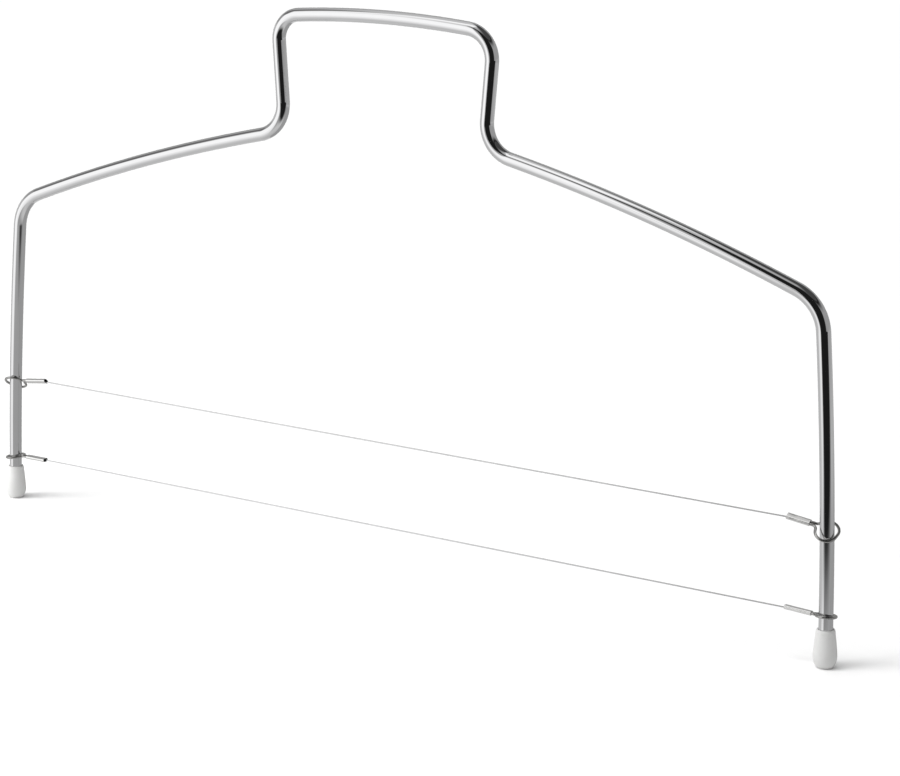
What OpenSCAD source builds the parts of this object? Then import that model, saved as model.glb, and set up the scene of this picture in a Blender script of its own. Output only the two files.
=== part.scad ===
/* [Frame] */
// Distance between the two legs where they stand on the table
foot_span = 323.4; // [260:0.2:400]
// Distance between the two shoulder corners, before they are rounded
shoulder_span = 309; // [250:0.2:380]
// Height of the shoulder corners
shoulder_z = 112.9; // [100:0.1:125]
// Distance between the two corners where the shoulders turn up into the handle
neck_span = 76.8; // [60:0.2:100]
// Height of those corners
neck_z = 148.1; // [140:0.1:152]
// Distance between the two top corners of the handle
grip_span = 82.4; // [66:0.2:110]
// Height of the left top corner
grip_left_z = 185.9; // [178:0.1:200]
// Height of the right top corner
grip_right_z = 185; // [178:0.1:200]
// Thickness of the bent rod
rod_d = 4.5; // [3.5:0.1:5.5]

/* [Bends] */
// How far each leg bows outward from a straight line
leg_bow = 1.1; // [0.5:0.1:1.4]
// How far each shoulder bows upward from a straight line
shoulder_bow = 2.6; // [1.5:0.1:4]
// How far the top of the handle bows upward
grip_bow = 2.3; // [1:0.1:4]
// Bend radius at the shoulders, along the middle of the rod
shoulder_r = 14.5; // [10:0.1:18]
// Bend radius at the neck
neck_r = 11.2; // [8:0.1:14]
// Bend radius at the left top corner of the handle
grip_left_r = 8.4; // [7:0.1:13]
// Bend radius at the right top corner of the handle
grip_right_r = 9.7; // [7:0.1:13]

/* [Feet] */
// Height of each foot cap
foot_h = 12.3; // [10:0.1:12.8]
// Width of the cap at its mouth
foot_mouth_d = 5.1; // [5:0.1:5.4]
// Width of the cap where its mouth bevel ends
foot_collar_d = 6.1; // [5.4:0.1:6.4]
// Height of the mouth bevel
foot_bevel_h = 1.5; // [1:0.1:3]
// Width of the cap at its fullest
foot_belly_d = 7.5; // [6.6:0.1:9]
// Height at which the cap is fullest
foot_belly_z = 4; // [3:0.1:5]
// Width of the flat that the cap stands on
foot_sole_d = 4.2; // [3.6:0.1:5.4]
// Thickness of the cap under the end of the rod
foot_floor = 2.2; // [1.2:0.1:3]
// Clearance between the rod and the bore of the cap
foot_fit = 0.05; // [0.03:0.01:0.08]

/* [Cutting wires] */
// Thickness of each cutting wire
wire_d = 0.45; // [0.3:0.05:0.5]
// Height of the lower wire at its left end
lower_left_z = 16.5; // [16.4:0.1:17.5]
// Height of the lower wire at its right end
lower_right_z = 16.5; // [16.4:0.1:17.5]
// Height of the upper wire at its left end
upper_left_z = 46.5; // [44:0.1:50]
// Height of the upper wire at its right end
upper_right_z = 45.5; // [44:0.1:50]
// How far the lower wire slides down from where it is set
lower_down = 2; // [0.5:0.1:2.2]
// How far the lower wire slides up
lower_up = 12; // [4:0.5:13]
// How far the upper wire slides down from where it is set
upper_down = 9; // [4:0.5:9.5]
// How far the upper wire slides up
upper_up = 48; // [20:1:50]

/* [Eyes] */
// Thickness of the wire that each eye is bent from
eye_d = 0.9; // [0.7:0.05:1]
// Bend radius where an eye closes to its two side by side ends
eye_neck_r = 1.5; // [1:0.1:2]
// Gap between the two side by side ends of an eye
eye_split = 0.1; // [0.08:0.01:0.12]
// Length of each end inside the ferrule
eye_tail = 2.6; // [2:0.1:3]
// Gap between the lower left eye and the leg that it rides on
lower_left_gap = 0.3; // [0.3:0.05:0.6]
// Gap between the lower right eye and its leg
lower_right_gap = 0.3; // [0.3:0.05:0.6]
// Gap between the upper left eye and its leg
upper_left_gap = 0.5; // [0.5:0.05:0.8]
// Gap between the upper right eye and its leg
upper_right_gap = 0.55; // [0.5:0.05:0.8]
// Straight stretch on the outer side of the lower left eye, half its length
lower_left_slack = 0.45; // [0.3:0.05:1.2]
// Straight stretch on the outer side of the lower right eye, half its length
lower_right_slack = 0.3; // [0.3:0.05:1.2]
// Straight stretch on the outer side of the upper left eye, half its length
upper_left_slack = 0.9; // [0.9:0.05:1.2]
// Straight stretch on the outer side of the upper right eye, half its length
upper_right_slack = 0.8; // [0.8:0.05:1.2]
// Bare length of the two ends between the lower left eye and its ferrule
lower_left_neck = 1.7; // [0.1:0.1:2]
// Bare length of the two ends between the lower right eye and its ferrule
lower_right_neck = 0.5; // [0.1:0.1:2]
// Bare length of the two ends between the upper left eye and its ferrule
upper_left_neck = 1.2; // [0.1:0.1:2]
// Bare length of the two ends between the upper right eye and its ferrule
upper_right_neck = 1.2; // [0.1:0.1:2]

/* [Ferrules] */
// Length of the lower left ferrule
lower_left_l = 8.6; // [7.6:0.1:11]
// Length of the lower right ferrule
lower_right_l = 8.8; // [7.6:0.1:11]
// Length of the upper left ferrule
upper_left_l = 9; // [7.6:0.1:11]
// Length of the upper right ferrule
upper_right_l = 7.6; // [7.6:0.1:11]
// Height of each flattened ferrule
ferrule_h = 1.4; // [1.4:0.05:1.9]
// Width of each flattened ferrule
ferrule_w = 2.4; // [2.4:0.05:3]
// Wall of each ferrule
ferrule_wall = 0.15; // [0.1:0.05:0.15]
// Clearance between a ferrule and the ends of its eye
ferrule_fit = 0.03; // [0.02:0.01:0.05]
// Least length of cutting wire inside a ferrule, at the bottom of the travel
wire_hold = 0.5; // [0.3:0.1:0.8]
// How far the lower right ferrule sits above the middle of its wire
lower_right_lift = 0.2; // [0:0.05:0.2]

/* [How the ends hang] */
// Downward tip of the lower left ferrule, toward the leg
lower_left_tip = 0.5; // [-5:0.5:5]
// Downward tip of the lower right ferrule
lower_right_tip = 3; // [-5:0.5:5]
// Downward tip of the upper left ferrule
upper_left_tip = 7.5; // [0:0.5:8]
// Downward tip of the upper right ferrule
upper_right_tip = 7.5; // [0:0.5:7.5]
// Further droop of the lower left eye, from its ferrule
lower_left_droop = 7; // [0:1:15]
// Further droop of the lower right eye
lower_right_droop = -4; // [-10:1:12]
// Further droop of the upper left eye
upper_left_droop = 7; // [0:1:7]
// Further droop of the upper right eye
upper_right_droop = 12; // [0:1:13]
// Turn of the lower left end about its own length
lower_left_turn = 0; // [-20:1:20]
// Turn of the lower right end
lower_right_turn = -9; // [-20:1:20]
// Turn of the upper left end
upper_left_turn = -36; // [-36:1:36]
// Turn of the upper right end
upper_right_turn = 28; // [20:1:30]

/* [Hidden] */

round_fn = 48;
// Neighbouring stretches of a bent piece stop just short of each other inside a short sleeve,
// a hair wider than the piece, that closes each joint: how proud it is, half its length on the
// rod and on an eye, and how far short the stretches stop
sleeve_proud = 0.03;
rod_sleeve = 0.4;
eye_sleeve = 0.12;
sleeve_gap = 0.04;
steel = [0.78, 0.79, 0.80];
bright = [0.86, 0.87, 0.88];
wire_grey = [0.66, 0.67, 0.68];
cap_white = [0.94, 0.94, 0.93];

// The frame is drawn flat, x across and y up, as two halves of one bent rod, the left one mirrored.
// Each corner is the meeting point of two stretches before it is rounded.
foot_p = [foot_span / 2, 0];
shoulder_p = [shoulder_span / 2, shoulder_z];
neck_p = [neck_span / 2, neck_z];
grip_right_p = [grip_span / 2, grip_right_z];
grip_left_p = [-grip_span / 2, grip_left_z];

function unit(v) = v / norm(v);
function right_of(v) = [v[1], -v[0]];
// Radius and centre of the arc from p to q that bulges by s to the right of the way there
function bow_radius(p, q, s) = (pow(norm(q - p), 2) / 4 + s * s) / (2 * s);
function bow_centre(p, q, s) = (p + q) / 2 - right_of(unit(q - p)) * (bow_radius(p, q, s) - s);
// Of the two points at distance r1 from c1 and r2 from c2, the one that lies nearer to p
function nearer(a, b, p) = norm(a - p) < norm(b - p) ? a : b;
function meet_along(c1, r1, c2, r2) = (r1 * r1 - r2 * r2 + pow(norm(c2 - c1), 2)) / (2 * norm(c2 - c1));
function meet_aside(c1, r1, c2, r2) = sqrt(r1 * r1 - pow(meet_along(c1, r1, c2, r2), 2));
function meet(c1, r1, c2, r2, p) =
    let (d = unit(c2 - c1), base = c1 + d * meet_along(c1, r1, c2, r2),
         side = right_of(d) * meet_aside(c1, r1, c2, r2))
    nearer(base + side, base - side, p);
// The point on the line through p along d that lies at distance r from c, nearer to p
function on_line(p, d, c, r) =
    let (w = p - c, b = w * d, h = sqrt(b * b - w * w + r * r))
    p + d * (abs(h - b) < abs(h + b) ? h - b : -h - b);
function heading(v) = atan2(v[1], v[0]);

leg_r = bow_radius(foot_p, shoulder_p, leg_bow);
leg_c = bow_centre(foot_p, shoulder_p, leg_bow);
slope_r = bow_radius(shoulder_p, neck_p, shoulder_bow);
slope_c = bow_centre(shoulder_p, neck_p, shoulder_bow);
bar_r = bow_radius(grip_right_p, grip_left_p, grip_bow);
bar_c = bow_centre(grip_right_p, grip_left_p, grip_bow);

// Each side of the handle: the height of its top corner, the bend radius there, and the centre
// of the top's bow as that side sees it
right_side = [grip_right_z, grip_right_r, bar_c];
left_side = [grip_left_z, grip_left_r, [-bar_c[0], bar_c[1]]];
function grip_r(side) = side[1];
function grip_p(side) = [grip_span / 2, side[0]];
function side_d(side) = unit(grip_p(side) - neck_p);
function side_n(side) = right_of(side_d(side));

// Centres of the three bends
shoulder_c = meet(leg_c, leg_r - shoulder_r, slope_c, slope_r - shoulder_r, shoulder_p);
function neck_c(side) =
    on_line(neck_p + side_n(side) * neck_r, side_d(side), slope_c, slope_r + neck_r);
function corner_c(side) =
    on_line(grip_p(side) - side_n(side) * grip_r(side), side_d(side), side[2], bar_r - grip_r(side));

// Headings from each centre to the ends of its arc
leg_from = asin((foot_floor - leg_c[1]) / leg_r);
leg_to = heading(shoulder_c - leg_c);
slope_from = heading(shoulder_c - slope_c);
function slope_to(side) = heading(neck_c(side) - slope_c);
function neck_from(side) = heading(-side_n(side));
function neck_to(side) = 360 + heading(slope_c - neck_c(side));
function corner_from(side) = heading(side_n(side));
function corner_to(side) = heading(corner_c(side) - side[2]);
function side_from(side) = neck_c(side) - side_n(side) * neck_r;
function side_to(side) = corner_c(side) + side_n(side) * grip_r(side);

// Where the middle of a leg lies at height z, and how far it leans there
function leg_x(z) = leg_c[0] + sqrt(leg_r * leg_r - pow(z - leg_c[1], 2));
function leg_lean(z) = asin((z - leg_c[1]) / leg_r);

// What sets each end of a cutting wire: the wire's height there, its travel down and up, the
// gap round the leg, the bare neck, how the ferrule tips, the eye droops and both turn, the
// eye's straight stretch, the ferrule's length, and how far the ferrule sits above the wire
lower_left = [lower_left_z, lower_down, lower_up, lower_left_gap, lower_left_neck,
    lower_left_tip, lower_left_droop, lower_left_turn, lower_left_slack, lower_left_l, 0];
lower_right = [lower_right_z, lower_down, lower_up, lower_right_gap, lower_right_neck,
    lower_right_tip, lower_right_droop, lower_right_turn, lower_right_slack, lower_right_l,
    lower_right_lift];
upper_left = [upper_left_z, upper_down, upper_up, upper_left_gap, upper_left_neck,
    upper_left_tip, upper_left_droop, upper_left_turn, upper_left_slack, upper_left_l, 0];
upper_right = [upper_right_z, upper_down, upper_up, upper_right_gap, upper_right_neck,
    upper_right_tip, upper_right_droop, upper_right_turn, upper_right_slack, upper_right_l, 0];
function wire_z(end) = end[0];
function down(end) = end[1];
function up(end) = end[2];
function gap(end) = end[3];
function neck(end) = end[4];
function tip(end) = end[5];
function droop(end) = end[6];
function turn(end) = end[7];
function slack(end) = end[8];
function ferrule_l(end) = end[9];
function lift(end) = end[10];

// An eye is drawn lying flat, with the leg at the origin and its ferrule toward -x.
// Radius of its bow, the place of the two bends that close it, and the bow's sweep up to them
function eye_r(end) = rod_d / 2 + gap(end) + eye_d / 2;
tail_y = (eye_d + eye_split) / 2;
close_y = tail_y + eye_neck_r;
function close_x(end) = -sqrt(pow(eye_r(end) + eye_neck_r, 2) - pow(close_y - slack(end), 2));
function eye_sweep(end) = atan2(close_y - slack(end), close_x(end));

// Length of wire inside a ferrule with the wire as set, and halfway between its two limits
function low_x(end) = leg_x(wire_z(end) - down(end));
function held_set(end) = wire_hold + low_x(end) - leg_x(wire_z(end));
function held_mid(end) = wire_hold + (low_x(end) - leg_x(wire_z(end) + up(end))) / 2;

// Height of an eye's middle, from the wire's height and the way the end hangs
function eye_z(end) = wire_z(end) + lift(end)
    - (neck(end) + ferrule_l(end) - held_mid(end)) * sin(tip(end))
    + close_x(end) * sin(tip(end) + droop(end));
// Where an eye's neck lies, from the middle of the frame, and its height
function neck_at(end) = [
    leg_x(eye_z(end)) + close_x(end) * cos(tip(end) + droop(end)),
    eye_z(end) - close_x(end) * sin(tip(end) + droop(end))
];
// Distance from the middle of the frame to the end of the cutting wire
function wire_reach(end) =
    neck_at(end)[0] - (neck(end) + ferrule_l(end) - held_set(end)) * cos(tip(end));

// One arc of round stock, about c with radius r, from one heading to another
module arc(c, r, from, to, d, steps) {
    trim = sleeve_gap / r * 180 / PI;
    turn = to - from - 2 * trim;
    translate([c[0], c[1], 0])
        rotate([0, 0, from + trim])
            rotate_extrude(angle = turn, $fn = ceil(360 * steps / turn))
                translate([r, 0])
                    circle(d = d, $fn = round_fn);
}

// One straight stretch of round stock, from p to q
module line(p, q, d) {
    translate([p[0], p[1], 0])
        rotate([0, 0, heading(q - p)])
            rotate([0, 90, 0])
                translate([0, 0, sleeve_gap])
                    cylinder(d = d, h = norm(q - p) - 2 * sleeve_gap, $fn = round_fn);
}

// The sleeve where an arc about c with radius r ends at a heading
module joint(c, r, at, d, half) {
    translate([c[0] + r * cos(at), c[1] + r * sin(at), 0])
        rotate([0, 0, at])
            rotate([90, 0, 0])
                cylinder(d = d + 2 * sleeve_proud, h = 2 * half, center = true, $fn = round_fn);
}

// One half of the rod, from its foot to the top corner of the handle
module half_frame(side) {
    arc(leg_c, leg_r, leg_from, leg_to, rod_d, 8);
    joint(leg_c, leg_r, leg_to, rod_d, rod_sleeve);
    arc(shoulder_c, shoulder_r, leg_to, slope_from, rod_d, 12);
    joint(slope_c, slope_r, slope_from, rod_d, rod_sleeve);
    arc(slope_c, slope_r, slope_from, slope_to(side), rod_d, 8);
    joint(slope_c, slope_r, slope_to(side), rod_d, rod_sleeve);
    arc(neck_c(side), neck_r, neck_from(side), neck_to(side), rod_d, 10);
    joint(neck_c(side), neck_r, neck_from(side), rod_d, rod_sleeve);
    line(side_from(side), side_to(side), rod_d);
    joint(corner_c(side), grip_r(side), corner_from(side), rod_d, rod_sleeve);
    arc(corner_c(side), grip_r(side), corner_from(side), corner_to(side), rod_d, 10);
    joint(corner_c(side), grip_r(side), corner_to(side), rod_d, rod_sleeve);
}

module frame_rod() {
    color(steel)
        rotate([90, 0, 0])
            union() {
                half_frame(right_side);
                mirror([1, 0, 0])
                    half_frame(left_side);
                arc(bar_c, bar_r, corner_to(right_side), 180 - corner_to(left_side), rod_d, 8);
            }
}

// Outline of a foot cap, from its sole to its mouth, as radius and height
function belly_curve(t) = [
    foot_sole_d / 2 + (foot_belly_d - foot_sole_d) / 2 * sin(t),
    foot_belly_z * (1 - cos(t))
];
collar_z = foot_h - foot_bevel_h;
function flank_curve(t) = [
    foot_belly_d / 2 - (foot_belly_d - foot_collar_d) / 2 * pow(t, 1.2),
    foot_belly_z + (collar_z - foot_belly_z) * t
];
function bevel_curve(t) = [
    foot_mouth_d / 2 + (foot_collar_d - foot_mouth_d) / 2 * cos(t),
    collar_z + foot_bevel_h * sin(t)
];
foot_outline = concat(
    [[0, 0]],
    [for (t = [0 : 15 : 90]) belly_curve(t)],
    [for (t = [0.125 : 0.125 : 1]) flank_curve(t)],
    [for (t = [22.5 : 22.5 : 90]) bevel_curve(t)],
    [[0, foot_h]]
);

// The cap leans with its leg, and is sunk and cut so that its whole sole is one level flat
module foot_cap() {
    lean_z = foot_h / 2;
    sunk = foot_sole_d / 2 * sin(leg_lean(lean_z)) + 0.02;
    difference() {
        translate([leg_x(lean_z), 0, lean_z - sunk])
            rotate([0, -leg_lean(lean_z), 0])
                translate([0, 0, -lean_z])
                    difference() {
                        rotate_extrude($fn = 2 * round_fn)
                            polygon(foot_outline);
                        translate([0, 0, foot_floor + sunk - foot_fit])
                            cylinder(d = rod_d + 2 * foot_fit, h = foot_h, $fn = round_fn);
                    }
        translate([leg_x(0), 0, -foot_h / 2])
            cube([3 * foot_belly_d, 3 * foot_belly_d, foot_h], center = true);
    }
}

// Puts an eye that is drawn flat round the right leg, as it hangs
module at_leg(end) {
    translate([leg_x(eye_z(end)), 0, eye_z(end)])
        rotate([0, tip(end) + droop(end), 0])
            rotate([turn(end), 0, 0])
                children();
}

// Puts what is drawn from an eye's neck toward -x where it hangs on the right, with a share
// of the eye's droop
module at_neck(end, share = 0) {
    translate([neck_at(end)[0], 0, neck_at(end)[1]])
        rotate([0, tip(end) + share * droop(end), 0])
            rotate([turn(end), 0, 0])
                children();
}

// Half of an eye's bow, from its outer side to its neck
module half_bow(end) {
    bow_c = [0, slack(end)];
    close_c = [close_x(end), close_y];
    joint(bow_c, eye_r(end), 0, eye_d, eye_sleeve);
    arc(bow_c, eye_r(end), 0, eye_sweep(end), eye_d, 20);
    joint(bow_c, eye_r(end), eye_sweep(end), eye_d, eye_sleeve);
    arc(close_c, eye_neck_r, -90, eye_sweep(end) - 180, eye_d, 8);
}

module eye(end) {
    tail = neck(end) + eye_tail + sleeve_gap;
    color(bright)
        union() {
            at_leg(end) {
                line([eye_r(end), -slack(end)], [eye_r(end), slack(end)], eye_d);
                half_bow(end);
                mirror([0, 1, 0])
                    half_bow(end);
            }
            at_neck(end, 0.5)
                for (side = [-1, 1])
                    joint([0, side * (tail_y + eye_neck_r)], eye_neck_r, -side * 90, eye_d, eye_sleeve);
            at_neck(end)
                for (side = [-1, 1])
                    line([0, side * tail_y], [-tail, side * tail_y], eye_d);
        }
}

// A flattened tube's solid: a bar with round edges, w wide, h high and l long, toward -x
module flat_bar(w, h, l) {
    for (side = [-1, 1])
        translate([0, side * (w - h) / 2, 0])
            rotate([0, -90, 0])
                cylinder(d = h, h = l, $fn = round_fn);
    translate([-l, -(w - h) / 2, -h / 2])
        cube([l, w - h, h]);
}

module ferrule(end) {
    web = eye_tail + 2 * ferrule_fit + ferrule_wall;
    past = 1;
    color(bright)
        at_neck(end)
            translate([-neck(end), 0, 0])
                difference() {
                    flat_bar(ferrule_w, ferrule_h, ferrule_l(end));
                    translate([-web, 0, 0])
                        flat_bar(
                            ferrule_w - 2 * ferrule_wall,
                            ferrule_h - 2 * ferrule_wall,
                            ferrule_l(end)
                        );
                    translate([past, 0, 0])
                        flat_bar(
                            2 * tail_y + eye_d + 2 * ferrule_fit,
                            eye_d + 2 * ferrule_fit,
                            past + eye_tail + ferrule_fit
                        );
                }
}

// A taut wire between two points given by their distance from the middle and their height
module taut_wire(left_x, left_z, right_x, right_z) {
    run = [left_x + right_x, right_z - left_z];
    color(wire_grey)
        translate([-left_x, 0, left_z])
            rotate([0, 90 - heading(run), 0])
                cylinder(d = wire_d, h = norm(run), $fn = round_fn / 2);
}

module left_foot() {
    color(cap_white)
        mirror([1, 0, 0])
            foot_cap();
}

module right_foot() {
    color(cap_white)
        foot_cap();
}

module lower_wire() {
    taut_wire(wire_reach(lower_left), lower_left_z, wire_reach(lower_right), lower_right_z);
}

module upper_wire() {
    taut_wire(wire_reach(upper_left), upper_left_z, wire_reach(upper_right), upper_right_z);
}

module lower_left_ferrule() {
    mirror([1, 0, 0])
        ferrule(lower_left);
}

module lower_right_ferrule() {
    ferrule(lower_right);
}

module upper_left_ferrule() {
    mirror([1, 0, 0])
        ferrule(upper_left);
}

module upper_right_ferrule() {
    ferrule(upper_right);
}

module lower_left_eye() {
    mirror([1, 0, 0])
        eye(lower_left);
}

module lower_right_eye() {
    eye(lower_right);
}

module upper_left_eye() {
    mirror([1, 0, 0])
        eye(upper_left);
}

module upper_right_eye() {
    eye(upper_right);
}

frame_rod();
left_foot();
right_foot();
lower_wire();
upper_wire();
lower_left_ferrule();
lower_right_ferrule();
upper_left_ferrule();
upper_right_ferrule();
lower_left_eye();
lower_right_eye();
upper_left_eye();
upper_right_eye();
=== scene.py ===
import math

import bmesh
import bpy
from mathutils import Matrix, Vector


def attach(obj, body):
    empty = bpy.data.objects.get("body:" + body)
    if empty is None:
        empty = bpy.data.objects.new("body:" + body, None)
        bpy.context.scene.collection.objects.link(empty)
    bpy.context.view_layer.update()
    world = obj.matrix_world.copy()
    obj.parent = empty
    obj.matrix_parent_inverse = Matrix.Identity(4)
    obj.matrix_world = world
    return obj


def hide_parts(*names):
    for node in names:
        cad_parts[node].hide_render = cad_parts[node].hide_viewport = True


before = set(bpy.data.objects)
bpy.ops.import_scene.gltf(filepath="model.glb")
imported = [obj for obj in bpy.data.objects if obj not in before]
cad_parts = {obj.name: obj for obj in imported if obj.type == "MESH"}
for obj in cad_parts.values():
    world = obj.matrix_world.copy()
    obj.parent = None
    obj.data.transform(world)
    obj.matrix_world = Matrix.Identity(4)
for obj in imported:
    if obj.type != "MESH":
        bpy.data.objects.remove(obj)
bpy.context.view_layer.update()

# The rod is one round steel bar, bent cold into two legs, two sloping shoulders and a squared
# loop for the hand. It is polished after bending and then chromed, and both its ends are cut
# off bare, inside the foot caps.
rod_d = 0.0045
foot_at = Vector((0.1617, 0.0))
shoulder_at = Vector((0.1545, 0.1129))
neck_at = Vector((0.0384, 0.1481))
grip_x = 0.0412
grip_left_z = 0.1859
grip_right_z = 0.185
leg_bow = 0.0011
shoulder_bow = 0.0026
grip_bow = 0.0023
shoulder_r = 0.0145
neck_r = 0.0112
grip_left_r = 0.0084
grip_right_r = 0.0097
rod_end_z = 0.0022


def right_of(v):
    return Vector((v.y, -v.x))


def heading(v):
    return math.atan2(v.y, v.x)


def bow(p, q, rise):
    """Centre and radius of the arc from p to q that bulges by rise to the right of the way there."""
    radius = ((q - p).length_squared / 4 + rise * rise) / (2 * rise)
    return (p + q) / 2 - right_of((q - p).normalized()) * (radius - rise), radius


def meet(c1, r1, c2, r2, near):
    """The point at distance r1 from c1 and r2 from c2, on the side where near is."""
    apart = (c2 - c1).length
    ahead = (c2 - c1) / apart
    along = (r1 * r1 - r2 * r2 + apart * apart) / (2 * apart)
    aside = right_of(ahead) * math.sqrt(r1 * r1 - along * along)
    middle = c1 + ahead * along
    return min(middle + aside, middle - aside, key=lambda p: (p - near).length)


def on_line(p, d, c, r):
    """The point on the line through p along d that lies at distance r from c, nearer to p."""
    back = (p - c).dot(d)
    reach = math.sqrt(back * back - (p - c).length_squared + r * r)
    return p + d * min(reach - back, -reach - back, key=abs)


def arc(c, r, first, last, steps):
    turns = (first + (last - first) * step / steps for step in range(steps + 1))
    return [c + Vector((math.cos(turn), math.sin(turn))) * r for turn in turns]


def joined(*stretches):
    """The stretches' points as one line, each shared end kept once."""
    points = []
    for stretch in stretches:
        points += [p for p in stretch if not points or (p - points[-1]).length > 1e-6]
    return points


leg_c, leg_r = bow(foot_at, shoulder_at, leg_bow)
slope_c, slope_r = bow(shoulder_at, neck_at, shoulder_bow)
bar_c, bar_r = bow(Vector((grip_x, grip_right_z)), Vector((-grip_x, grip_left_z)), grip_bow)


def half_rod(top_z, top_r, top_c):
    """The right half of the rod, from its foot up to the handle's top, and its last heading."""
    grip_at = Vector((grip_x, top_z))
    side_d = (grip_at - neck_at).normalized()
    side_n = right_of(side_d)
    shoulder_c = meet(leg_c, leg_r - shoulder_r, slope_c, slope_r - shoulder_r, shoulder_at)
    neck_c = on_line(neck_at + side_n * neck_r, side_d, slope_c, slope_r + neck_r)
    corner_c = on_line(grip_at - side_n * top_r, side_d, top_c, bar_r - top_r)
    leg_from = math.asin((rod_end_z - leg_c.y) / leg_r)
    leg_to = heading(shoulder_c - leg_c)
    slope_from = heading(shoulder_c - slope_c)
    neck_from = 2 * math.pi + heading(slope_c - neck_c)
    corner_to = heading(corner_c - top_c)
    return joined(
        arc(leg_c, leg_r, leg_from, leg_to, 40),
        arc(shoulder_c, shoulder_r, leg_to, slope_from, 40),
        arc(slope_c, slope_r, slope_from, heading(neck_c - slope_c), 40),
        arc(neck_c, neck_r, neck_from, heading(-side_n), 36),
        arc(corner_c, top_r, heading(side_n), corner_to, 36)), corner_to


right_half, right_to = half_rod(grip_right_z, grip_right_r, bar_c)
left_half, left_to = half_rod(grip_left_z, grip_left_r, Vector((-bar_c.x, bar_c.y)))
rod_path = joined(
    right_half,
    arc(bar_c, bar_r, right_to, math.pi - left_to, 40),
    [Vector((-p.x, p.y)) for p in reversed(left_half)])


class Field:
    """A node's output. Arithmetic on it adds Math nodes to its tree."""

    def __init__(self, nodes, socket):
        self.nodes = nodes
        self.socket = socket

    def other(self, name):
        """Another output of the same node."""
        return Field(self.nodes, self.socket.node.outputs[name])

    def __add__(self, value):
        return self.nodes.math("ADD", self, value)

    def __radd__(self, value):
        return self.nodes.math("ADD", value, self)

    def __sub__(self, value):
        return self.nodes.math("SUBTRACT", self, value)

    def __rsub__(self, value):
        return self.nodes.math("SUBTRACT", value, self)

    def __mul__(self, value):
        return self.nodes.math("MULTIPLY", self, value)

    def __rmul__(self, value):
        return self.nodes.math("MULTIPLY", value, self)


class Nodes:
    """A node tree that is filled by writing out what feeds what."""

    def __init__(self, tree):
        self.tree = tree
        tree.nodes.clear()

    def add(self, kind, settings=None, sockets=None, out=0):
        """A node of that type: its settings first, then values or links for its sockets."""
        node = self.tree.nodes.new(kind)
        for name, value in (settings or {}).items():
            if name == "stops":
                self.set_stops(node.color_ramp.elements, value)
            else:
                setattr(node, name, value)
        for name, value in (sockets or {}).items():
            if isinstance(value, Field):
                self.tree.links.new(value.socket, node.inputs[name])
            else:
                node.inputs[name].default_value = value
        return Field(self, node.outputs[out]) if len(node.outputs) else None

    def set_stops(self, ramp, stops):
        while len(ramp) < len(stops):
            ramp.new(1.0)
        for element, (place, tone) in zip(ramp, stops):
            element.position = place
            element.color = (tone, tone, tone, 1.0)

    def math(self, operation, *values):
        return self.add("ShaderNodeMath", {"operation": operation}, dict(enumerate(values)))

    def vector(self, operation, *values, out=0):
        settings = {"operation": operation}
        return self.add("ShaderNodeVectorMath", settings, dict(enumerate(values)), out)

    def mix(self, factor, first, second):
        sockets = {0: factor, 6: first, 7: second}
        return self.add("ShaderNodeMix", {"data_type": "RGBA"}, sockets, 2)

    def noise(self, place, scale, detail):
        return self.add("ShaderNodeTexNoise", None, {"Vector": place, "Scale": scale, "Detail": detail})

    def range(self, value, low, high):
        """0 below low, 1 above high, and a smooth rise between them."""
        return self.add("ShaderNodeMapRange", {"interpolation_type": "SMOOTHSTEP"}, {
            "Value": value, "From Min": low, "From Max": high})

    def skin(self, sockets):
        shader = self.add("ShaderNodeBsdfPrincipled", None, sockets)
        self.add("ShaderNodeOutputMaterial", None, {"Surface": shader})


def finish(name):
    """A new material, and the nodes to fill it with."""
    material = bpy.data.materials.new(name)
    material.use_nodes = True
    return material, Nodes(material.node_tree)


def on_bar(nodes):
    """Place on a bent bar as if it were straight: across it in two ways, and along it."""
    ring = nodes.add("ShaderNodeAttribute", {"attribute_name": "ring"}, None, "Vector")
    along = nodes.add("ShaderNodeAttribute", {"attribute_name": "along"}, None, "Fac")
    return nodes.vector("ADD", ring, nodes.add("ShaderNodeCombineXYZ", None, {"Z": along}))


chrome, nodes = finish("polished chrome")
spot = on_bar(nodes)
height = nodes.add("ShaderNodeSeparateXYZ", None, {
    "Vector": nodes.add("ShaderNodeTexCoord", None, None, "Object")}, "Z")
haze = nodes.noise(spot, 170.0, 3.0)
pits = nodes.noise(spot, 1900.0, 4.0)
polish = nodes.noise(nodes.vector("MULTIPLY", spot, (1.0, 1.0, 0.02)), 5200.0, 2.0)
rubbed = (1.0 - nodes.range(height, 0.085, 0.105)) * nodes.range(polish, 0.5, 0.72)
nodes.skin({
    "Base Color": nodes.mix(haze, (0.865, 0.865, 0.87, 1.0), (0.815, 0.815, 0.825, 1.0)),
    "Metallic": 1.0,
    "Roughness": 0.03 + 0.03 * haze + 0.02 * pits + 0.05 * rubbed,
    "Normal": nodes.add("ShaderNodeBump", None, {
        "Height": 0.7 * polish + 0.3 * pits, "Strength": 0.035, "Distance": 0.00002}),
})

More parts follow.
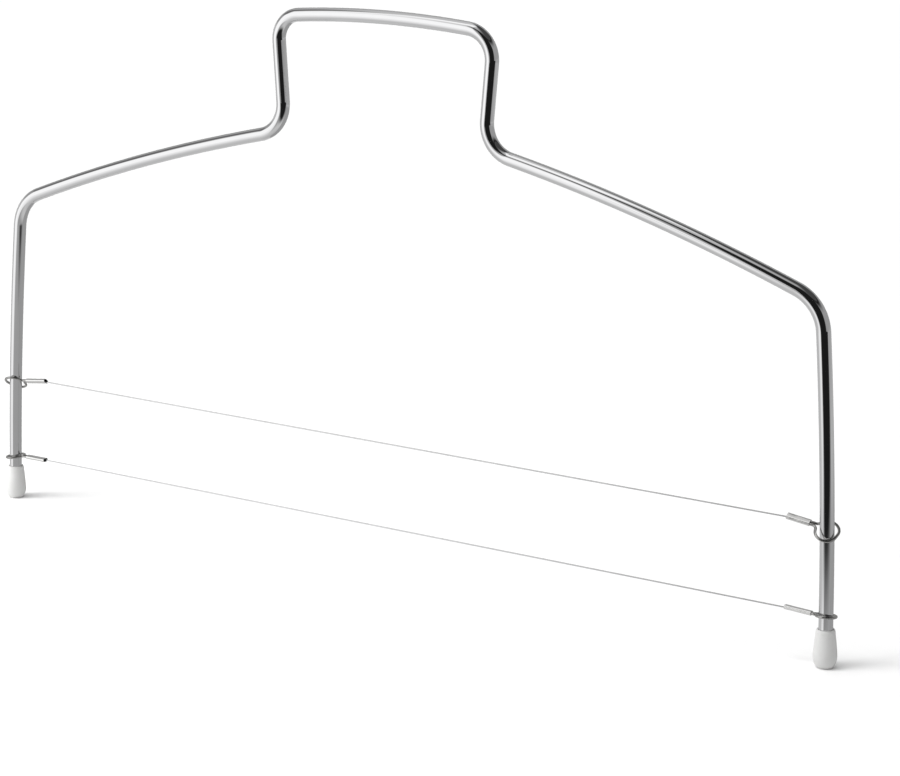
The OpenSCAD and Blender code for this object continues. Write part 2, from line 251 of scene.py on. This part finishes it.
bar_tree = bpy.data.node_groups.new("round bar along a path", "GeometryNodeTree")
bar_inputs = {}
for label, kind in (
        ("Path", "NodeSocketGeometry"),
        ("Thickness", "NodeSocketFloat"),
        ("Sides", "NodeSocketInt"),
        ("Finish", "NodeSocketMaterial")):
    bar_inputs[label] = bar_tree.interface.new_socket(label, in_out="INPUT", socket_type=kind).identifier
bar_tree.interface.new_socket("Bar", in_out="OUTPUT", socket_type="NodeSocketGeometry")
nodes = Nodes(bar_tree)
given = nodes.add("NodeGroupInput")
middle = nodes.add("GeometryNodeStoreNamedAttribute", {"domain": "POINT"}, {
    "Geometry": nodes.add("GeometryNodeMeshToCurve", None, {"Mesh": given.other("Path")}),
    "Name": "along",
    "Value": nodes.add("GeometryNodeSplineParameter", None, None, "Length")})
section = nodes.add("GeometryNodeStoreNamedAttribute", {"domain": "POINT", "data_type": "FLOAT_VECTOR"}, {
    "Geometry": nodes.add("GeometryNodeCurvePrimitiveCircle", None, {
        "Resolution": given.other("Sides"), "Radius": 0.5 * given.other("Thickness")}),
    "Name": "ring",
    "Value": nodes.add("GeometryNodeInputPosition")})
skin = nodes.add("GeometryNodeCurveToMesh", None, {
    "Curve": middle, "Profile Curve": section, "Fill Caps": True})
nodes.add("NodeGroupOutput", None, {"Bar": nodes.add("GeometryNodeSetMaterial", None, {
    "Geometry": nodes.add("GeometryNodeRealizeInstances", None, {"Geometry": skin}),
    "Material": given.other("Finish")})})


def tidy_faces(mesh, edge=40):
    """Faces point outward and are smooth, apart from the sharp edges between them."""
    shape = bmesh.new()
    shape.from_mesh(mesh)
    bmesh.ops.recalc_face_normals(shape, faces=shape.faces[:])
    for face in shape.faces:
        face.smooth = True
    shape.to_mesh(mesh)
    shape.free()
    mesh.set_sharp_from_angle(angle=math.radians(edge))


def bend_bar(name, points, thickness, sides, material):
    """A round bar whose middle follows the points, as a plain mesh."""
    line = bpy.data.meshes.new(name + "_line")
    line.from_pydata([tuple(p) for p in points], [(i, i + 1) for i in range(len(points) - 1)], [])
    piece = bpy.data.objects.new(name, line)
    bpy.context.scene.collection.objects.link(piece)
    bar = piece.modifiers.new("bar", "NODES")
    bar.node_group = bar_tree
    bar[bar_inputs["Thickness"]] = thickness
    bar[bar_inputs["Sides"]] = sides
    bar[bar_inputs["Finish"]] = material
    bpy.context.view_layer.update()
    graph = bpy.context.evaluated_depsgraph_get()
    mesh = bpy.data.meshes.new_from_object(piece.evaluated_get(graph), depsgraph=graph)
    piece.modifiers.clear()
    piece.data = mesh
    tidy_faces(mesh)
    return piece


rod = bend_bar("bent_rod", [(p.x, 0.0, p.y) for p in rod_path], rod_d, 48, chrome)
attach(rod, "frame")
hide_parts("frame_rod")

# The four eyes are hard spring wire, nickelled and bent in one piece: a wide bow, a waist and
# two straight ends side by side. Each is threaded over a leg before the caps go on, and its
# bow is what slides up and down and grips the leg.
eye_d = 0.0009
waist_r = 0.0015
split = 0.0001
tail = 0.0026
wire_hold = 0.0005
tail_y = (eye_d + split) / 2
waist_y = tail_y + waist_r


def leg_x(z):
    return leg_c.x + math.sqrt(leg_r * leg_r - (z - leg_c.y) ** 2)


def leg_lean(z):
    return math.asin((z - leg_c.y) / leg_r)


class End:
    """How one end of a cutting wire hangs on its leg, with all that follows from that."""

    def __init__(self, wire_z, down, up, gap, slack, neck, length, tip, droop, turn, lift=0.0):
        self.slack = slack
        self.neck = neck
        self.length = length
        self.bow_r = rod_d / 2 + gap + eye_d / 2
        self.waist_x = -math.sqrt((self.bow_r + waist_r) ** 2 - (waist_y - slack) ** 2)
        self.sweep = math.atan2(waist_y - slack, self.waist_x)
        self.tip = math.radians(tip)
        self.eye_tip = math.radians(tip + droop)
        self.turn = Matrix.Rotation(math.radians(turn), 4, "X")
        held = wire_hold + (leg_x(wire_z - down) - leg_x(wire_z + up)) / 2
        self.eye_z = (wire_z + lift - (neck + length - held) * math.sin(self.tip)
                      + self.waist_x * math.sin(self.eye_tip))

    def at_leg(self):
        """Puts what is drawn flat, with the leg at the origin, round the right leg."""
        place = Matrix.Translation((leg_x(self.eye_z), 0.0, self.eye_z))
        return place @ Matrix.Rotation(self.eye_tip, 4, "Y") @ self.turn

    def at_waist(self):
        """Puts what is drawn from the eye's waist toward -x where it hangs on the right."""
        place = Matrix.Translation((
            leg_x(self.eye_z) + self.waist_x * math.cos(self.eye_tip), 0.0,
            self.eye_z - self.waist_x * math.sin(self.eye_tip)))
        return place @ Matrix.Rotation(self.tip, 4, "Y") @ self.turn


ends = {
    "lower_left": End(
        wire_z=0.0165, down=0.002, up=0.012, gap=0.0003, slack=0.00045,
        neck=0.0017, length=0.0086, tip=0.5, droop=7, turn=0),
    "lower_right": End(
        wire_z=0.0165, down=0.002, up=0.012, gap=0.0003, slack=0.0003,
        neck=0.0005, length=0.0088, tip=3, droop=-4, turn=-9, lift=0.0002),
    "upper_left": End(
        wire_z=0.0465, down=0.009, up=0.048, gap=0.0005, slack=0.0009,
        neck=0.0012, length=0.009, tip=7.5, droop=7, turn=-36),
    "upper_right": End(
        wire_z=0.0455, down=0.009, up=0.048, gap=0.00055, slack=0.0008,
        neck=0.0012, length=0.0076, tip=7.5, droop=12, turn=28),
}
to_left = Matrix.Scale(-1, 4, (1, 0, 0))


def on_its_side(name, points):
    """Points round the right leg, mirrored to the left leg for a left end."""
    return [to_left @ p for p in points] if name.endswith("left") else points


spring, nodes = finish("nickelled spring wire")
spot = on_bar(nodes)
bloom = nodes.noise(spot, 900.0, 4.0)
drawn = nodes.noise(nodes.vector("MULTIPLY", spot, (1.0, 1.0, 0.04)), 9000.0, 2.0)
nodes.skin({
    "Base Color": nodes.mix(bloom, (0.56, 0.555, 0.545, 1.0), (0.44, 0.435, 0.42, 1.0)),
    "Metallic": 1.0,
    "Roughness": 0.14 + 0.08 * bloom + 0.05 * drawn,
    "Normal": nodes.add("ShaderNodeBump", None, {
        "Height": 0.6 * drawn + 0.4 * bloom, "Strength": 0.12, "Distance": 0.00002}),
})

for name, end in ends.items():
    bow_c = Vector((0.0, end.slack))
    waist_c = Vector((end.waist_x, waist_y))
    half_bow = joined(
        arc(bow_c, end.bow_r, 0.0, end.sweep, 28),
        arc(waist_c, waist_r, end.sweep - math.pi, -math.pi / 2, 10))
    near_side = [end.at_leg() @ Vector((p.x, p.y, 0.0)) for p in half_bow]
    far_side = [end.at_leg() @ Vector((p.x, -p.y, 0.0)) for p in half_bow]
    back = -end.neck - tail
    tail_ends = [end.at_waist() @ Vector((back, side * tail_y, 0.0)) for side in (1, -1)]
    points = [tail_ends[1]] + far_side[::-1] + near_side + [tail_ends[0]]
    eye = bend_bar(name + "_bent_eye", on_its_side(name, points), eye_d, 16, spring)
    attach(eye, name + "_end")
    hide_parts(name + "_eye")

# The foot caps are soft white plastic, each moulded in one piece with a narrow mouth, a round
# belly and a small flat sole. They are pushed over the bare ends of the rod, hold by their
# own grip, and keep the steel off the table.
cap_h = 0.0123
mouth_r = 0.00255
collar_r = 0.00305
bevel_h = 0.0015
belly_r = 0.00375
belly_z = 0.004
sole_r = 0.0021
bore_r = rod_d / 2 + 0.00005
lip_r = 0.00012
collar_z = cap_h - bevel_h
lean_z = cap_h / 2
sunk = sole_r * math.sin(leg_lean(lean_z)) + 0.00002
steps = [step / 12 for step in range(13)]
quarter = [step * math.pi / 2 for step in steps]
cap_outline = joined(
    [Vector((sole_r * share, 0.0)) for share in (0.35, 0.7)],
    [Vector((sole_r + (belly_r - sole_r) * math.sin(t), belly_z * (1 - math.cos(t)))) for t in quarter],
    [Vector((belly_r - (belly_r - collar_r) * t ** 1.2, belly_z + (collar_z - belly_z) * t)) for t in steps],
    [Vector((mouth_r + (collar_r - mouth_r) * math.cos(t), collar_z + bevel_h * math.sin(t)))
     for t in quarter],
    [Vector((bore_r + lip_r * (1 - math.sin(t)), cap_h - lip_r * (1 - math.cos(t)))) for t in quarter],
    [Vector((bore_r, z)) for z in (0.009, 0.006, rod_end_z + sunk - 0.00005)])


def shell(name, rings, material):
    """A closed shell through rings of points, each ring joined to the next, both ends filled."""
    count = len(rings[0])
    faces = [tuple(range(count)), tuple(range((len(rings) - 1) * count, len(rings) * count))]
    for row in range(len(rings) - 1):
        for i in range(count):
            after = (i + 1) % count
            faces.append((row * count + i, row * count + after,
                          (row + 1) * count + after, (row + 1) * count + i))
    mesh = bpy.data.meshes.new(name)
    mesh.from_pydata([tuple(p) for ring in rings for p in ring], [], faces)
    mesh.materials.append(material)
    tidy_faces(mesh)
    piece = bpy.data.objects.new(name, mesh)
    bpy.context.scene.collection.objects.link(piece)
    return piece


cap_white, nodes = finish("white cap plastic")
place = nodes.add("ShaderNodeTexCoord", None, None, "Object")
height = nodes.add("ShaderNodeSeparateXYZ", None, {"Vector": place}, "Z")
cloud = nodes.noise(place, 280.0, 4.0)
grain = nodes.noise(place, 5200.0, 3.0)
specks = nodes.range(nodes.noise(place, 1500.0, 2.0), 0.62, 0.78)
dust = (1.0 - nodes.range(height, 0.0, 0.0016)) * (0.35 + 0.5 * cloud)
clean_white = nodes.mix(cloud, (0.66, 0.66, 0.655, 1.0), (0.62, 0.62, 0.61, 1.0))
nodes.skin({
    "Base Color": nodes.mix(0.6 * dust + 0.12 * specks, clean_white, (0.55, 0.545, 0.53, 1.0)),
    "Roughness": 0.36 + 0.12 * cloud + 0.1 * grain,
    "Specular IOR Level": 0.4,
    "Subsurface Weight": 0.12,
    "Subsurface Radius": (0.0012, 0.0012, 0.0011),
    "Subsurface Scale": 1.0,
    "Normal": nodes.add("ShaderNodeBump", None, {
        "Height": 0.5 * grain + 0.5 * cloud, "Strength": 0.12, "Distance": 0.00004}),
})

upright = Matrix.Rotation(-leg_lean(lean_z), 4, "Y") @ Matrix.Translation((0.0, 0.0, -lean_z))
stood = Matrix.Translation((leg_x(lean_z), 0.0, lean_z - sunk)) @ upright
turns = [2 * math.pi * step / 72 for step in range(72)]
cap_rings = [
    [stood @ Vector((p.x * math.cos(t), p.x * math.sin(t), p.y)) for t in turns] for p in cap_outline]
for ring in cap_rings:
    for point in ring:
        point.z = max(point.z, 0.0)
for side in ("left", "right"):
    rings = [on_its_side(side, ring) for ring in cap_rings]
    cap = shell(side + "_foot_cap", rings, cap_white)
    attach(cap, "frame")
    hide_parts(side + "_foot")

# The ferrules are short lengths of thin nickelled tube. Each is slipped over an end of the
# cutting wire and the two ends of an eye, and pressed flat in one long nip, so its mouth
# stays a little open round the wire.
tube_w = 0.0024
tube_h = 0.0014
tube_wall = 0.00015
tail_fit = 0.00003
pocket_l = tail + tail_fit
pocket_w = 2 * tail_y + eye_d + 2 * tail_fit
pocket_h = eye_d + 2 * tail_fit
web = tail + 2 * tail_fit + tube_wall
lip = 0.00008
nip_deep = 0.00004


def nipped(x, length):
    """How deep the pliers have pressed the tube at a distance from its eye end."""
    off = min(abs(x - 0.62 * length) / (0.3 * length), 1.0)
    return nip_deep * (1 + math.cos(math.pi * off)) / 2


def flat_ring(x, wide, high):
    """A ring of points round a flattened tube, at a distance from its eye end."""
    ring = []
    for step in range(40):
        turn = 2 * math.pi * (step + 0.5) / 40
        side = math.copysign((wide - high) / 2, math.cos(turn))
        ring.append(Vector((-x, side + high / 2 * math.cos(turn), high / 2 * math.sin(turn))))
    return ring


tube, nodes = finish("crimped nickel tube")
place = nodes.add("ShaderNodeTexCoord", None, None, "Object")
bloom = nodes.noise(place, 800.0, 4.0)
drawn = nodes.noise(nodes.vector("MULTIPLY", place, (0.05, 1.0, 1.0)), 7000.0, 2.0)
marks = nodes.noise(nodes.vector("MULTIPLY", place, (1.0, 0.1, 1.0)), 4200.0, 3.0)
nodes.skin({
    "Base Color": nodes.mix(bloom, (0.93, 0.925, 0.915, 1.0), (0.86, 0.855, 0.845, 1.0)),
    "Metallic": 1.0,
    "Roughness": 0.07 + 0.08 * bloom + 0.04 * drawn,
    "Normal": nodes.add("ShaderNodeBump", None, {
        "Height": 0.5 * drawn + 0.3 * marks + 0.2 * bloom, "Strength": 0.12, "Distance": 0.00003}),
})

for name, end in ends.items():
    rings = [flat_ring(pocket_l, pocket_w, pocket_h), flat_ring(lip, pocket_w, pocket_h)]
    rings.append(flat_ring(0.0, pocket_w + 2 * lip, pocket_h + 2 * lip))
    rings.append(flat_ring(0.0, tube_w - lip, tube_h - lip))
    body = [lip / 2 + (end.length - lip) * step / 60 for step in range(61)]
    for x in body:
        rings.append(flat_ring(x, tube_w, tube_h - 2 * nipped(x, end.length)))
    rings.append(flat_ring(end.length, tube_w - lip, tube_h - lip))
    bore = [x for x in reversed(body) if x > web]
    for x in bore:
        rings.append(flat_ring(x, tube_w - 2 * tube_wall, tube_h - 2 * tube_wall - 2 * nipped(x, end.length)))
    rings = [on_its_side(name, [end.at_waist() @ (p - Vector((end.neck, 0, 0))) for p in ring])
             for ring in rings]
    ferrule = shell(name + "_crimped_ferrule", rings, tube)
    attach(ferrule, name + "_end")
    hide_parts(name + "_ferrule")

# The two cutting wires are single strands of hard stainless wire, drawn fine and pulled taut
# between the legs. Each is held by the ferrules at its two ends.
strand, nodes = finish("fine stainless wire")
place = nodes.add("ShaderNodeTexCoord", None, None, "Object")
drawn = nodes.noise(nodes.vector("MULTIPLY", place, (0.05, 1.0, 1.0)), 9000.0, 2.0)
from_middle = nodes.add("ShaderNodeSeparateXYZ", None, {"Vector": place})
# The wires' colour is painted light on the left and darker towards the right, with a little noise in it:
# painted light and shade for the light that comes from the left, not tarnish.
painted_shade_rightward = nodes.range(from_middle + 0.12 * nodes.noise(place, 90.0, 3.0), -0.05, 0.25)
nodes.skin({
    "Base Color": nodes.mix(painted_shade_rightward, (0.86, 0.86, 0.865, 1.0), (0.50, 0.50, 0.505, 1.0)),
    "Metallic": 1.0,
    "Roughness": 0.15 + 0.08 * drawn,
    "Normal": nodes.add("ShaderNodeBump", None, {
        "Height": drawn, "Strength": 0.2, "Distance": 0.00001}),
})
for name in ("lower_wire", "upper_wire"):
    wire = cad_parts[name]
    wire.data.materials.clear()
    wire.data.materials.append(strand)

# The tool stands on a plain pale floor without a seam, in soft light that comes from the left
# and a little from the front. The polished metal reflects large cards that stand round it.
floor_mesh = bpy.data.meshes.new("floor")
floor_mesh.from_pydata([(-9, -9, 0), (9, -9, 0), (9, 9, 0), (-9, 9, 0)], [], [(0, 1, 2, 3)])
floor = bpy.data.objects.new("floor", floor_mesh)
bpy.context.scene.collection.objects.link(floor)
paper, nodes = finish("pale floor")
cloud = nodes.noise(nodes.add("ShaderNodeTexCoord", None, None, "Object"), 3.0, 2.0)
nodes.skin({
    "Base Color": nodes.mix(cloud, (0.93, 0.93, 0.93, 1.0), (0.925, 0.925, 0.925, 1.0)),
    "Roughness": 0.9,
    "Specular IOR Level": 0.0,
})
floor_mesh.materials.append(paper)
floor.visible_glossy = False

yaw = math.radians(-30.622)
pitch = math.radians(14.285)
roll = math.radians(0.835)
to_right = Vector((math.cos(yaw), -math.sin(yaw), 0.0))
to_front = Vector((-math.sin(yaw), -math.cos(yaw), 0.0))


def grey(tone):
    return (tone, tone, tone, 1.0)


def soft_edge(nodes, value, at, soft):
    """0 before the edge and 1 after it, with a slow change from the one to the other."""
    return nodes.range(value, at - soft, at + soft)


def level_edge(nodes, height, at, soft):
    """The same for an edge at an angle above the level."""
    low = math.sin(math.radians(max(at - soft, -90)))
    high = math.sin(math.radians(min(at + soft, 90)))
    return nodes.range(height, low, high)


world = bpy.data.worlds.new("studio")
world.use_nodes = True
world.cycles.sampling_method = "NONE"
bpy.context.scene.world = world
nodes = Nodes(world.node_tree)
way = nodes.add("ShaderNodeTexCoord", None, None, "Generated")
height = nodes.add("ShaderNodeSeparateXYZ", None, {"Vector": way}, "Z")
rightward = nodes.vector("DOT_PRODUCT", way, to_right, out="Value")
frontward = nodes.vector("DOT_PRODUCT", way, to_front, out="Value")
bearing = nodes.math("ARCTAN2", rightward, frontward) * math.degrees(1.0)


def hang_card(room, tone, left, right, side_fade, low=None, high=None, top_fade=0):
    """The room with one card more in it. Angles are in degrees: 0 is in front, 90 to the right."""
    share = soft_edge(nodes, bearing, left, side_fade) * (1.0 - soft_edge(nodes, bearing, right, side_fade))
    if low is not None:
        share = share * level_edge(nodes, height, low, top_fade)
    if high is not None:
        share = share * (1.0 - level_edge(nodes, height, high, top_fade))
    return nodes.mix(share, room, grey(tone))


# The room without cards is lightest a little below the level.
room = nodes.add("ShaderNodeValToRGB", {"stops": (
    (0.0, 0.5), (0.15, 0.7), (0.33, 1.0), (0.5, 0.35), (0.75, 0.35), (1.0, 0.65))}, {
    "Fac": 0.5 + 0.5 * height})
# On the left are a wall, a bright window and a dark strip beside it.
room = hang_card(room, 0.55, left=-180, right=-80, side_fade=20, low=-55, high=10, top_fade=3)
room = hang_card(room, 1.1, left=-98, right=-48, side_fade=3, low=-15, top_fade=7)
room = hang_card(room, 0.15, left=-130, right=-90, side_fade=10, low=25, high=55, top_fade=3)
# On the right and in front are the table and its edge, with a dark ceiling over them.
room = hang_card(room, 0.35, left=55, right=170, side_fade=3, high=-10, top_fade=5)
room = hang_card(room, 0.4, left=-55, right=175, side_fade=5, low=-9, high=-3, top_fade=3)
room = hang_card(room, 0.01, left=-65, right=135, side_fade=20, low=35, high=54, top_fade=10)
room = hang_card(room, 0.06, left=-15, right=180, side_fade=35, low=48, top_fade=4)
room = hang_card(room, 0.2, left=-45, right=58, side_fade=5, low=-40, high=-9, top_fade=25)

ray = nodes.add("ShaderNodeLightPath")
to_dark_side = 0.87 * rightward + 0.5 * frontward
soft = nodes.add("ShaderNodeBackground", None, {
    "Color": nodes.mix(nodes.range(to_dark_side, -0.9, 0.9), grey(0.95), grey(0.3))})
far = nodes.add("ShaderNodeBackground", None, {"Color": grey(0.95)})
studio = nodes.add("ShaderNodeBackground", None, {"Color": room})
unseen = nodes.add("ShaderNodeMixShader", None, {
    0: ray.other("Is Glossy Ray"), 1: soft, 2: studio})
nodes.add("ShaderNodeOutputWorld", None, {"Surface": nodes.add("ShaderNodeMixShader", None, {
    0: ray.other("Is Camera Ray"), 1: unseen, 2: far})})


def near_card(name, corners):
    """A card that only the polished metal sees, with the nodes for its finish and its Object place."""
    mesh = bpy.data.meshes.new(name)
    mesh.from_pydata(corners, [], [(0, 1, 2, 3)])
    card = bpy.data.objects.new(name, mesh)
    bpy.context.scene.collection.objects.link(card)
    card.visible_camera = False
    card.visible_diffuse = False
    card.visible_transmission = False
    card.visible_shadow = False
    felt, nodes = finish(name)
    felt.cycles.emission_sampling = "NONE"
    mesh.materials.append(felt)
    place = nodes.add("ShaderNodeTexCoord", None, None, "Object")
    return nodes, nodes.add("ShaderNodeSeparateXYZ", None, {"Vector": place})


def black_felt(nodes, share):
    """Nearly black where share is 1, and clear where it is 0."""
    clear = nodes.add("ShaderNodeBsdfTransparent")
    felt = nodes.add("ShaderNodeEmission", None, {"Color": grey(0.012)})
    nodes.add("ShaderNodeOutputMaterial", None, {
        "Surface": nodes.add("ShaderNodeMixShader", None, {0: share, 1: clear, 2: felt})})


# One black card stands in front, and a black cloth lies on the floor before it.
nodes, card_place = near_card("upright black card", [
    (-0.06, -0.7, -0.02), (2.2, -0.7, -0.02), (2.2, -0.7, 1.2), (-0.06, -0.7, 1.2)])
share = soft_edge(nodes, card_place, -0.04, 0.01) * (1.0 - soft_edge(nodes, card_place, 1.7, 0.4))
share = share * soft_edge(nodes, card_place.other("Z"), 0.01, 0.02)
black_felt(nodes, share * (1.0 - soft_edge(nodes, card_place.other("Z"), 1.0, 0.1)))
nodes, cloth_place = near_card("black floor cloth", [
    (-0.5, -1.45, -0.001), (3.0, -1.45, -0.001), (3.0, 0.0, -0.001), (-0.5, 0.0, -0.001)])
share = soft_edge(nodes, cloth_place - 0.3 * cloth_place.other("Y"), 0.105, 0.06)
black_felt(nodes, share * (1.0 - soft_edge(nodes, cloth_place.other("Y"), -0.08, 0.08)))

# The light of a tall narrow window on the left, from three heights of its panes.
from_left = to_right * -0.985 + to_front * 0.174
for steepness in (45, 62, 80):
    pane = bpy.data.lights.new("window pane", "SUN")
    pane.energy = 0.58
    pane.angle = math.radians(18)
    lamp = bpy.data.objects.new("window pane", pane)
    steep = math.radians(steepness)
    lamp_from = from_left * math.cos(steep) + Vector((0.0, 0.0, math.sin(steep)))
    lamp.rotation_euler = lamp_from.to_track_quat("Z", "Y").to_euler()
    lamp.visible_glossy = False
    bpy.context.scene.collection.objects.link(lamp)

# A small lamp close to the left foot, because the left end of the tool stands in more light.
near_lamp = bpy.data.lights.new("near lamp", "AREA")
near_lamp.energy = 0.4
near_lamp.size = 0.2
lamp = bpy.data.objects.new("near lamp", near_lamp)
left_cap_at = Vector((-foot_at.x, 0.0, 0.006))
lamp_way = to_right * -0.2 + to_front * 0.11 + Vector((0.0, 0.0, 0.13))
lamp.location = left_cap_at + lamp_way
lamp.rotation_euler = lamp_way.to_track_quat("Z", "Y").to_euler()
lamp.visible_glossy = False
lamp.visible_camera = False
bpy.context.scene.collection.objects.link(lamp)

# The camera looks a little down at the tool, from the front and well to the right.
camera_at = Vector((0.39907, -0.62866, 0.25483))
ahead = Vector((math.sin(yaw) * math.cos(pitch), math.cos(yaw) * math.cos(pitch), -math.sin(pitch)))
overhead_way = to_right.cross(ahead)
across = to_right * math.cos(roll) + overhead_way * math.sin(roll)
upward = overhead_way * math.cos(roll) - to_right * math.sin(roll)
camera_data = bpy.data.cameras.new("camera")
camera_data.sensor_width = 36.0
camera_data.lens = 92.0
camera_data.clip_start = 0.01
camera_data.clip_end = 30.0
camera = bpy.data.objects.new("camera", camera_data)
camera.matrix_world = Matrix((
    (across.x, upward.x, -ahead.x, camera_at.x),
    (across.y, upward.y, -ahead.y, camera_at.y),
    (across.z, upward.z, -ahead.z, camera_at.z),
    (0.0, 0.0, 0.0, 1.0)))
bpy.context.scene.collection.objects.link(camera)
bpy.context.scene.camera = camera
bpy.context.scene.view_settings.view_transform = "Standard"
